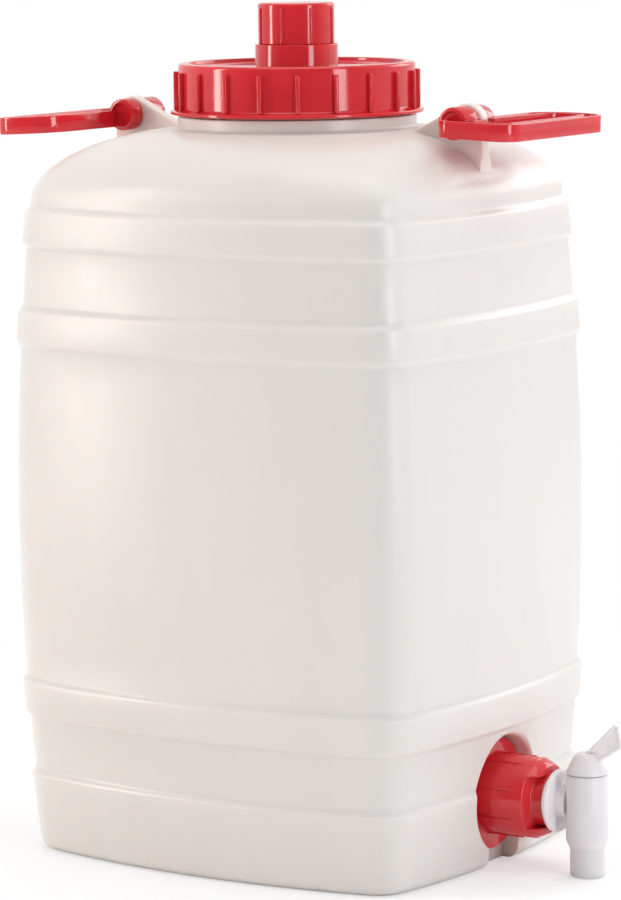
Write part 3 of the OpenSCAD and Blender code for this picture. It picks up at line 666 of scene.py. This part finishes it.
# ---------------------------------------------------------------- lid seal
# A plain ring of pale closed-cell foam that lies in the lid and is pressed on the neck's rim.

foam = moulded_plastic("seal_foam", (0.80, 0.80, 0.76), (0.72, 0.72, 0.68), (2, 2, 2),
                       (0.75, 0.9), 0.6)[0]
put_on(bpy.data.objects["lid_seal"], foam)

# ---------------------------------------------------------------- lid
# A screw lid injection moulded in glossy red plastic: skirt with a thin flange and twenty grip
# ribs, a raised rim round its top, and in the middle a collar that carries the threaded spout.

lid_z, lid_flange_r, lid_flange_t = 0.4827, 0.0825, 0.003
lid_in_r, lid_skirt_r, lid_under, lid_top, lid_rim_top = 0.0748, 0.0772, 0.5106, 0.5131, 0.5153
rim_round, rim_in_r = 0.0024, 0.0702
spout_collar_r, spout_collar_top, spout_r, spout_bore_r, spout_top = (
    0.027, 0.5271, 0.019, 0.016, 0.5491)
lid_ribs, lid_rib_w, lid_rib_r = 20, 0.003, 0.0803
lid_thread_z, lid_thread_foot, lid_thread_crest, spout_thread_z = 0.4862, 0.0026, 0.0012, 0.5326
spout_thread = (0.005, 1.25, 0.0022, 0.0010, 40)  # pitch, turns, foot, crest, steps a turn

rim_arc = [(lid_skirt_r - rim_round * (1 - math.cos(math.radians(a))),
            lid_rim_top - rim_round * (1 - math.sin(math.radians(a)))) for a in range(0, 91, 15)]
lid = lathe("screw_lid", [(lid_in_r, lid_z), (lid_flange_r, lid_z),
                          (lid_flange_r, lid_z + lid_flange_t * 0.7),
                          (lid_skirt_r + 0.001, lid_z + lid_flange_t),
                          (lid_skirt_r, lid_z + lid_flange_t + 0.001)] + rim_arc +
            [(rim_in_r, lid_rim_top), (rim_in_r - 0.0004, lid_top), (spout_collar_r, lid_top),
             (spout_collar_r - 0.0002, spout_collar_top), (spout_r, spout_collar_top),
             (spout_r, spout_top), (spout_bore_r, spout_top), (spout_bore_r, lid_under),
             (spout_r, lid_under), (spout_r, spout_collar_top - 0.003),
             (spout_collar_r - 0.0025, spout_collar_top - 0.003),
             (spout_collar_r - 0.0025, lid_under), (lid_in_r, lid_under)], 128)
soften(lid, 0.0005)
lid_rib = block("lid_rib", (lid_skirt_r - 0.001, -lid_rib_w / 2, lid_z + 0.0025),
                (lid_rib_r, lid_rib_w / 2, lid_top - 0.003))
soften(lid_rib, 0.0010)
combine(lid, ring_of_ribs(lid_rib, lid_ribs, start=math.radians(-2.5)), "UNION")
combine(lid, thread_ridge("lid_thread", lid_in_r + 0.0006, lid_in_r - 0.0017,
                          lid_thread_z, thread_pitch, thread_turns, lid_thread_foot,
                          lid_thread_crest), "UNION")
combine(lid, thread_ridge("spout_thread", spout_r - 0.0006, spout_r + 0.0013,
                          spout_thread_z, *spout_thread), "UNION")
finish_mesh(lid, 34)
put_on(lid, red)
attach(lid, "lid")
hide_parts("lid")

# ---------------------------------------------------------------- centre cap seal
# A small ring of the same pale foam, inside the cap, that closes on the spout's rim.

put_on(bpy.data.objects["centre_cap_seal"], foam)

# ---------------------------------------------------------------- centre cap
# A small red screw cap with eight slim ribs and a rounded top edge. It screws on the spout and
# comes down on the lid's collar; an airlock's bung takes its place while the must works.

cap_z, cap_r, cap_top, cap_in_r, cap_under = 0.5271, 0.0248, 0.5537, 0.0209, 0.5513
cap_round, cap_ribs, cap_rib_w, cap_rib_r = 0.0018, 8, 0.0018, 0.0257
cap_thread_z = 0.5301

cap_arc = [(cap_r - cap_round * (1 - math.cos(math.radians(a))),
            cap_top - cap_round * (1 - math.sin(math.radians(a)))) for a in range(0, 91, 15)]
cap = lathe("small_cap", [(0, cap_under), (cap_in_r, cap_under), (cap_in_r, cap_z + 0.0001),
                          (cap_r - 0.0004, cap_z + 0.0001), (cap_r, cap_z + 0.0006)]
            + cap_arc + [(0, cap_top)], 96)
cap_rib = block("cap_rib", (cap_r - 0.001, -cap_rib_w / 2, cap_z + 0.0002),
                (cap_rib_r, cap_rib_w / 2, cap_top - 0.003))
soften(cap_rib, 0.0006)
combine(cap, ring_of_ribs(cap_rib, cap_ribs, start=math.radians(10.5)), "UNION")
combine(cap, thread_ridge("cap_thread", cap_in_r + 0.0006, cap_in_r - 0.0013,
                          cap_thread_z, *spout_thread), "UNION")
finish_mesh(cap, 34)
put_on(cap, red)
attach(cap, "centre_cap")
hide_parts("centre_cap")

# ---------------------------------------------------------------- right handle
# A carrying loop moulded in the same red plastic: bars with a raised edge, a web that closes the
# loop's near end, and two hubs that snap over the ear. It hangs just below level at rest.

handle_near, handle_far, handle_reach = -0.035, 0.091, 0.050
bar_back, bar_inner, bar_w, bar_low, bar_high = 0.005, -0.005, 0.011, -0.008, 0.003
hub_r, hub_face, short_hub_end, long_hub_end = 0.0104, 0.0045, 0.0155, -0.0215
edge_w, edge_h = 0.0021, 0.0024
web_low, web_high, droop = -0.004, -0.001, math.radians(2.5)


def corner(cx, cy, r, start, end, steps=10):
    """Points round one corner of the loop, from one angle to the other."""
    turns = [math.radians(start + (end - start) * i / steps) for i in range(steps + 1)]
    return [(cx + r * math.cos(t), cy + r * math.sin(t)) for t in turns]


# The loop is open at the ear, so one outline runs round its outside and back round its inside.
window_x0, window_x1 = bar_back + bar_w, handle_reach - bar_w
window_y0, window_y1 = handle_near + bar_w, handle_far - bar_w
loop_line = [(window_x0, -hub_face)]
loop_line += corner(bar_inner + 0.003, -hub_face - 0.003, 0.003, 90, 180, 6)
loop_line += corner(bar_inner + 0.009, handle_near + 0.009, 0.009, 180, 270)
loop_line += corner(handle_reach - 0.015, handle_near + 0.015, 0.015, 270, 360, 14)
loop_line += corner(handle_reach - 0.012, handle_far - 0.012, 0.012, 0, 90, 12)
loop_line += corner(bar_back + 0.030, handle_far - 0.030, 0.030, 90, 180, 18)
loop_line += [(bar_back, hub_face), (window_x0, hub_face)]
loop_line += corner(window_x0 + 0.014, window_y1 - 0.014, 0.014, 180, 90, 14)
loop_line += corner(window_x1 - 0.006, window_y1 - 0.006, 0.006, 90, 0, 8)
loop_line += corner(window_x1 - 0.008, window_y0 + 0.008, 0.008, 0, -90)
loop_line += corner(window_x0 + 0.006, window_y0 + 0.006, 0.006, -90, -180, 8)

handle = plate_along_y("handle_loop", loop_line, 0, bar_high - bar_low)
pick(handle)
handle.matrix_world = Matrix(((1, 0, 0, 0), (0, 0, 1, 0), (0, 1, 0, bar_low), (0, 0, 0, 1)))
bpy.ops.object.transform_apply(location=True, rotation=True, scale=True)
bpy.ops.object.mode_set(mode="EDIT")
close_up(handle)
select_faces(handle, lambda face: face.normal.z > 0.9)
bpy.ops.mesh.inset(thickness=edge_w, depth=0)
bpy.ops.mesh.inset(thickness=0.0003, depth=-edge_h)
close_up(handle)
soften(handle, 0.0006, 2)
combine(handle, block("web", (window_x0 - 0.001, window_y0 - 0.001, web_low),
                      (window_x1 + 0.001, 0, web_high)), "UNION")


def hub(name, face, end):
    """A round hub along Y, from its face beside the ear to its dished outer end."""
    out = 0.001 if end > face else -0.001
    piece = lathe(name, [(0, face), (hub_r - 0.0006, face), (hub_r, face + 0.6 * out),
                         (hub_r, end - 1.2 * out), (hub_r - 0.0004, end - 0.4 * out),
                         (hub_r - 0.0012, end), (hub_r - 0.0026, end),
                         (hub_r - 0.0034, end - 1.6 * out), (0, end - 2.6 * out)], 72)
    return settle(piece, turn=(-math.pi / 2, 0, 0))


combine(handle, hub("long_hub", -hub_face, long_hub_end), "UNION")
combine(handle, hub("short_hub", hub_face, short_hub_end), "UNION")
pin = lathe("pin", [(0, -hub_face - 0.001), (pin_r - turn_gap, -hub_face - 0.001),
                    (pin_r - turn_gap, hub_face + 0.001), (0, hub_face + 0.001)], 48)
settle(pin, turn=(math.pi / 2, 0, 0))
combine(handle, pin, "UNION")
settle(handle, (hinge_x, 0, hinge_z), (0, droop, 0))
finish_mesh(handle, 34)
handle.name = "carrying_loop_right"
put_on(handle, red)
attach(handle, "handle_right")
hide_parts("handle_right")

# ---------------------------------------------------------------- left handle
# The same moulding again, turned half round so that it lies out on the other side.

left_handle = turned_copy(handle, math.pi)
left_handle.name = "carrying_loop_left"
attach(left_handle, "handle_left")
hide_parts("handle_left")

# ---------------------------------------------------------------- studio
# A matt white floor that keeps the vessel's shadow and fades into an even white, a surround
# that is bright behind the vessel and dimmer before it, and four soft lights.

bpy.ops.object.select_all(action="DESELECT")
bpy.ops.mesh.primitive_circle_add(vertices=64, radius=6, fill_type="NGON", location=(0, 0, 0))
floor = bpy.context.object
floor.name = "floor"
floor_paint = bpy.data.materials.new("floor_paint")
floor_paint.use_nodes = True
floor_tree = floor_paint.node_tree
paint = floor_tree.nodes["Principled BSDF"]
paint.inputs["Base Color"].default_value = (0.93, 0.93, 0.93, 1)
paint.inputs["Roughness"].default_value = 1.0
paint.inputs["Specular IOR Level"].default_value = 0.0
plain_white = node(floor_tree, "Emission", Strength=1.0)
floor_place = node(floor_tree, "TexCoord")
from_middle = node(floor_tree, "VectorMath", operation="LENGTH")
fade = node(floor_tree, "MapRange")
fade.inputs["From Min"].default_value = 0.30
fade.inputs["From Max"].default_value = 0.75
fade.inputs["To Min"].default_value = 0.45
seen = node(floor_tree, "LightPath")
only_seen = node(floor_tree, "Math", operation="MULTIPLY")
blend = node(floor_tree, "MixShader")
floor_out = floor_tree.nodes["Material Output"]
for start, end in ((floor_place.outputs["Object"], from_middle.inputs[0]),
                   (from_middle.outputs["Value"], fade.inputs["Value"]),
                   (fade.outputs["Result"], only_seen.inputs[0]),
                   (seen.outputs["Is Camera Ray"], only_seen.inputs[1]),
                   (only_seen.outputs["Value"], blend.inputs["Fac"]),
                   (paint.outputs["BSDF"], blend.inputs[1]),
                   (plain_white.outputs["Emission"], blend.inputs[2]),
                   (blend.outputs["Shader"], floor_out.inputs["Surface"])):
    floor_tree.links.new(start, end)
put_on(floor, floor_paint)

turn = math.radians(33.15)           # the camera stands this far round from -Y towards +X
pitch = math.radians(7.86)
roll = math.radians(-0.71)
camera_distance, camera_height = 2.670, 0.6326
away = Vector((math.sin(turn), -math.cos(turn), 0))

world = bpy.data.worlds.new("studio")
bpy.context.scene.world = world
world.use_nodes = True
sky = world.node_tree
surround = sky.nodes["Background"]
surround.inputs["Color"].default_value = (1, 1, 1, 1)
direction = node(sky, "TexCoord")
towards_camera = node(sky, "VectorMath", operation="DOT_PRODUCT")
towards_camera.inputs[1].default_value = away
dimming = node(sky, "MapRange")
dimming.inputs["From Min"].default_value = -0.1
dimming.inputs["From Max"].default_value = 0.7
dimming.inputs["To Min"].default_value = 0.95
dimming.inputs["To Max"].default_value = 0.25
seen_directly = node(sky, "LightPath")
strength = node(sky, "Mix")
strength.inputs["B"].default_value = 1.0
for start, end in ((direction.outputs["Generated"], towards_camera.inputs[0]),
                   (towards_camera.outputs["Value"], dimming.inputs["Value"]),
                   (dimming.outputs["Result"], strength.inputs["A"]),
                   (seen_directly.outputs["Is Camera Ray"], strength.inputs["Factor"]),
                   (strength.outputs["Result"], surround.inputs["Strength"])):
    sky.links.new(start, end)


def soft_box(name, place, target, size, power, colour):
    """An area light at a place, facing a target."""
    lamp = bpy.data.lights.new(name, "AREA")
    lamp.shape = "RECTANGLE"
    lamp.size, lamp.size_y = size
    lamp.energy = power
    lamp.color = colour
    holder = bpy.data.objects.new(name, lamp)
    bpy.context.scene.collection.objects.link(holder)
    holder.location = place
    holder.rotation_euler = (Vector(target) - Vector(place)).to_track_quat("-Z", "Y").to_euler()


soft_box("left_window", (-1.7, -1.5, 0.7), (0, 0, 0.25), (0.32, 1.8), 23, (1.0, 0.94, 0.88))
soft_box("right_window", (2.2, -0.6, 0.8), (0, 0, 0.25), (0.5, 1.4), 18, (0.90, 0.94, 1.0))
soft_box("back_window", (0.65, 1.7, 1.15), (0, 0, 0.3), (1.2, 0.8), 9, (1.0, 1.0, 1.0))
soft_box("overhead", (0.2, -0.2, 2.3), (0, 0, 0.3), (1.6, 1.6), 15, (1.0, 0.98, 0.96))

camera_data = bpy.data.cameras.new("camera")
camera = bpy.data.objects.new("camera", camera_data)
bpy.context.scene.collection.objects.link(camera)
bpy.context.scene.camera = camera
level_right = Vector((math.cos(turn), math.sin(turn), 0))
forward = -away * math.cos(pitch) - Vector((0, 0, math.sin(pitch)))
level_up = level_right.cross(forward)
right = level_right * math.cos(roll) + level_up * math.sin(roll)
up = level_up * math.cos(roll) - level_right * math.sin(roll)
facing = Matrix((right, up, -forward)).transposed().to_4x4()
camera.matrix_world = (
    Matrix.Translation(away * camera_distance + Vector((0, 0, camera_height))) @ facing)
focal_pixels, image_w, image_h = 4095, 621, 900
axis_x, axis_y, sensor = 301.4, 444.8, 36   # where the lens axis meets the picture, in pixels
camera_data.sensor_fit = "VERTICAL"
camera_data.sensor_height = sensor
camera_data.lens = sensor * focal_pixels / image_h
camera_data.shift_x = (image_w / 2 - axis_x) / image_h
camera_data.shift_y = (axis_y - image_h / 2) / image_h
bpy.context.scene.view_settings.view_transform = "Standard"
